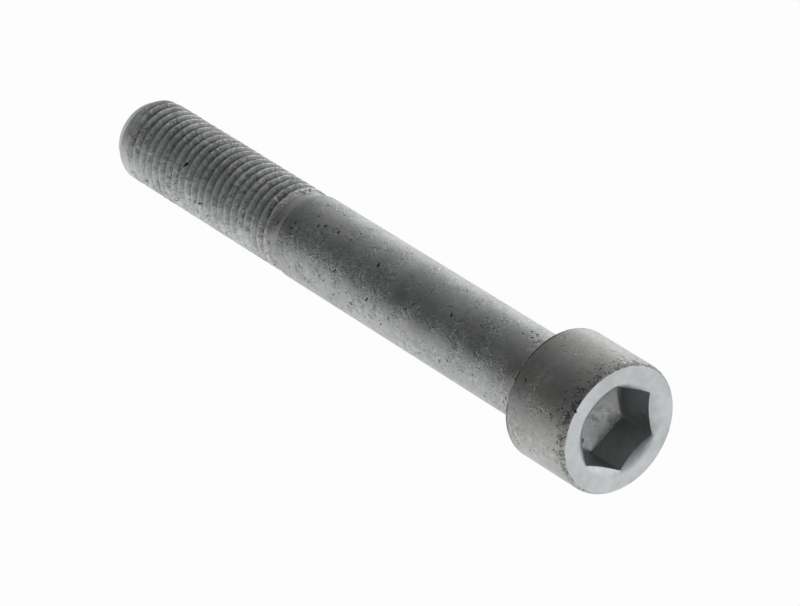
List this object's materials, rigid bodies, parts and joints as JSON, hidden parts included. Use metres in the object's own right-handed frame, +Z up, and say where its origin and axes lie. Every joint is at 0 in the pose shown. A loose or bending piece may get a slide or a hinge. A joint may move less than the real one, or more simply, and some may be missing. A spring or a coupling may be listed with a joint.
{
  "type": "socket head cap screw",
  "caption": "Socket head cap screw lying on its side: cylindrical head with a hexagon socket, plain shank, and a right-hand metric thread over the end away from the head.",
  "frame": {"origin": "centre of the bearing face under the head, on the screw's axis", "axes": "+X towards the head and +Z up; the screw lies on its side on its head's rim and first full thread crest, so its axis slopes down about 2 degrees towards the point, which is at -X"},
  "size_m": [0.1362, 0.024, 0.0245],
  "materials": {
    "coated_steel": "dull grey zinc-flake coating, worn and nicked"
  },
  "bodies": {
    "root": {"cap_screw": "coated_steel"}
  },
  "joints": []
}
